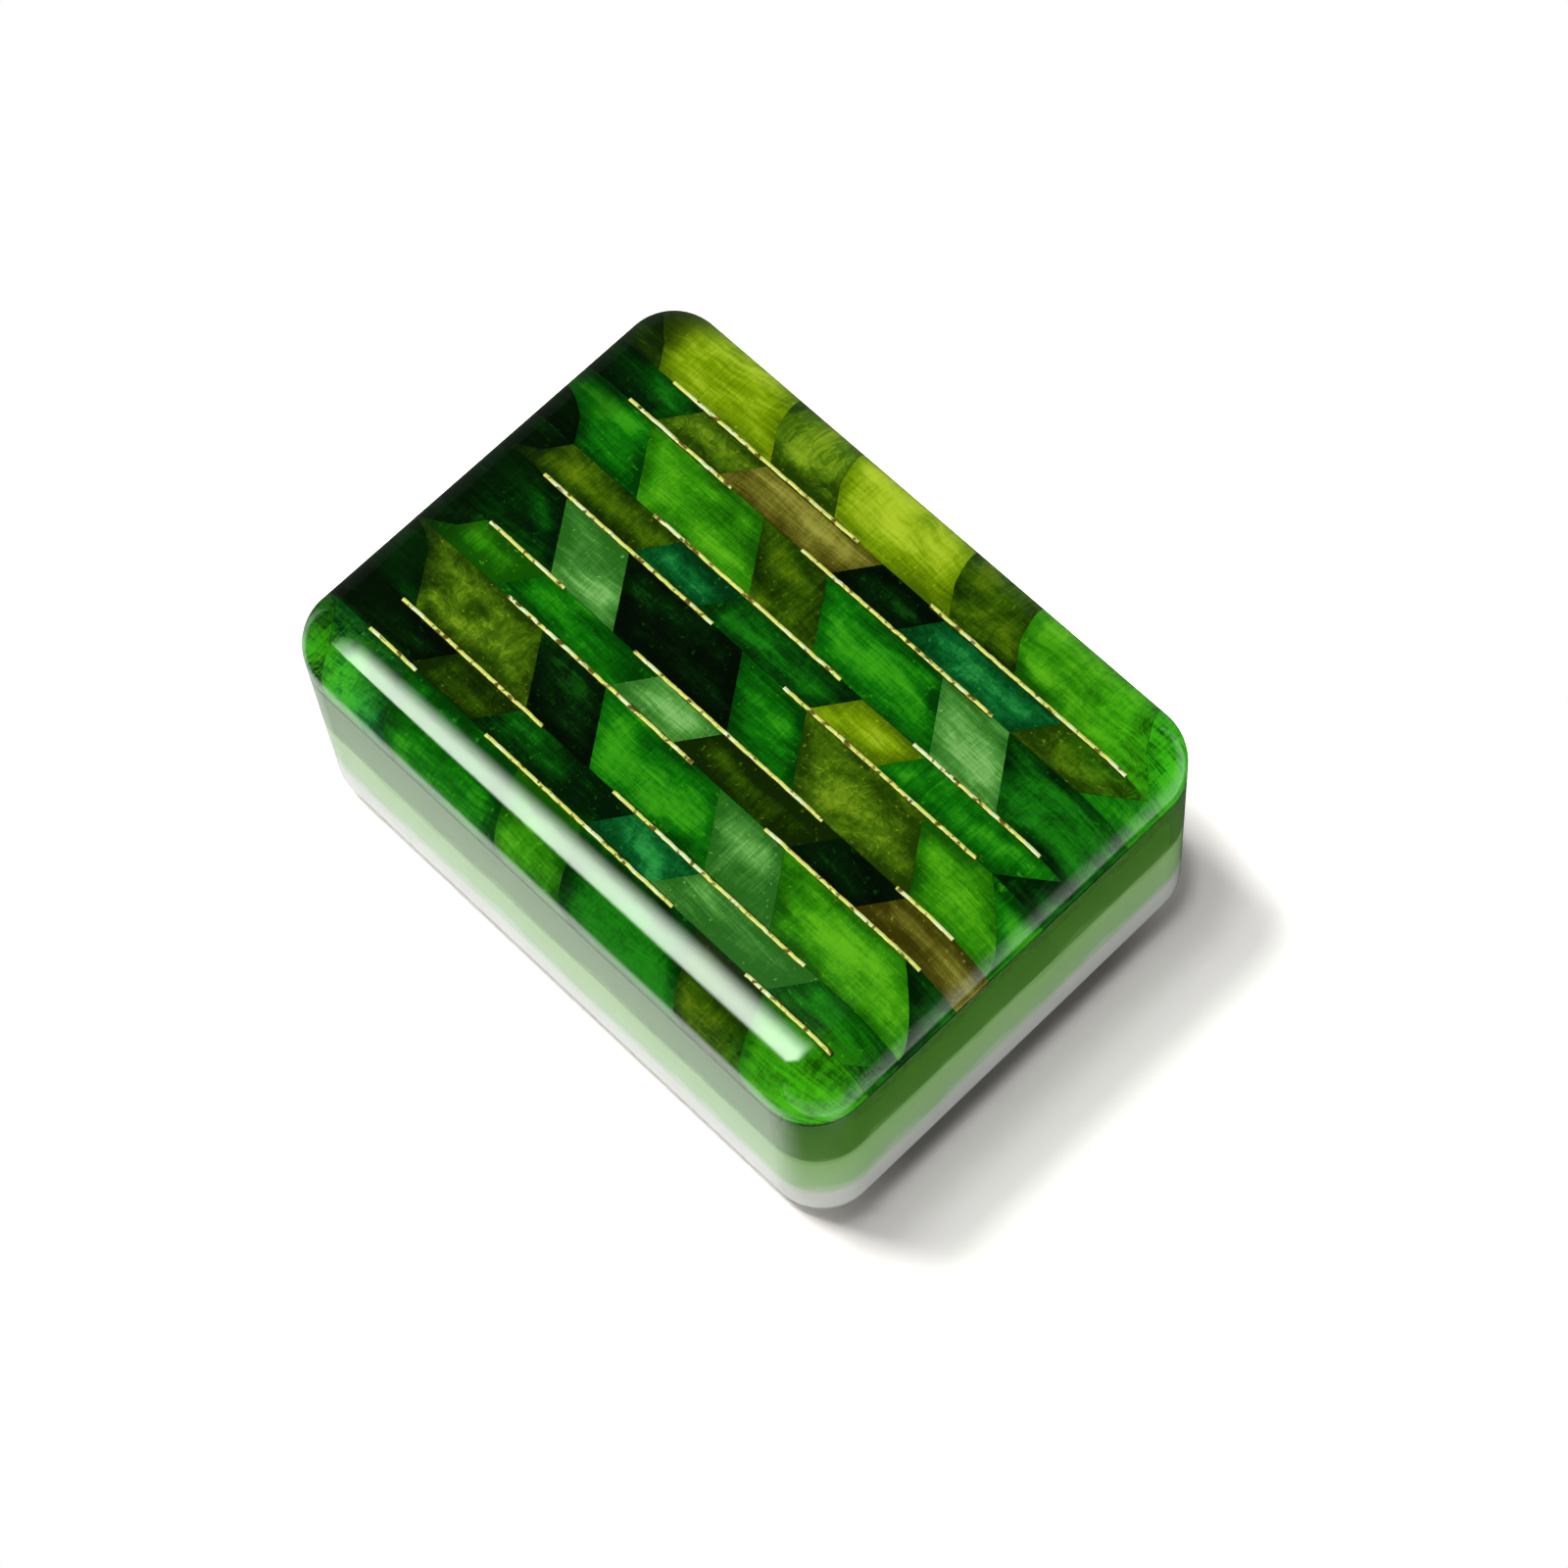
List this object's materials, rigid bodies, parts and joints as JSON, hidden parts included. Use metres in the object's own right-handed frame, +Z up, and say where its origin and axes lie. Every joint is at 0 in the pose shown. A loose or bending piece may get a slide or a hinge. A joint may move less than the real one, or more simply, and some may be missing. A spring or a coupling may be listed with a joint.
{
  "type": "mahjong tile",
  "caption": "Block-shaped game tile in bonded layers: engraved white face, two green cores, and an inlaid green and gold back under a clear cap with rolled edges.",
  "frame": {"origin": "centre of the tile's face, in the plane that the tile rests on when it lies face down", "axes": "+X along the tile's length, +Y across its width, +Z up through its thickness from the engraved face to the inlaid back"},
  "size_m": [0.03, 0.022, 0.0133],
  "materials": {
    "face_white": "polished white acrylic",
    "paint_green": "satin green enamel paint",
    "paint_blue": "satin blue enamel paint",
    "paint_red": "satin red enamel paint",
    "bond": "clear cured adhesive",
    "core_light": "polished translucent light green acrylic",
    "core_dark": "polished translucent dark green acrylic",
    "backing": "dark film",
    "slip_ink": "near-black green, grained",
    "slip_forest": "deep green, grained",
    "slip_emerald": "emerald green, grained",
    "slip_jade": "blue-green, grained",
    "slip_leaf": "bright leaf green, grained",
    "slip_sage": "pale sage green, brushed",
    "slip_moss": "moss green, grained",
    "slip_olive": "dark olive, grained",
    "slip_lime": "yellow-green, brushed",
    "slip_bronze": "khaki bronze, brushed",
    "gold": "bright gold leaf",
    "cap_clear": "polished clear acrylic"
  },
  "bodies": {
    "root": {"face_plate": "face_white", "face_paint_green": "paint_green", "face_paint_blue": "paint_blue", "face_paint_red": "paint_red", "face_bond_film": "bond", "light_core": "core_light", "core_bond_film": "bond", "dark_core": "core_dark", "inlay_backing_film": "backing", "inlay_ink": "slip_ink", "inlay_forest": "slip_forest", "inlay_emerald": "slip_emerald", "inlay_jade": "slip_jade", "inlay_leaf": "slip_leaf", "inlay_sage": "slip_sage", "inlay_moss": "slip_moss", "inlay_olive": "slip_olive", "inlay_lime": "slip_lime", "inlay_bronze": "slip_bronze", "gold_lines": "gold", "cap_bond_film": "bond", "clear_cap": "cap_clear"}
  },
  "joints": []
}
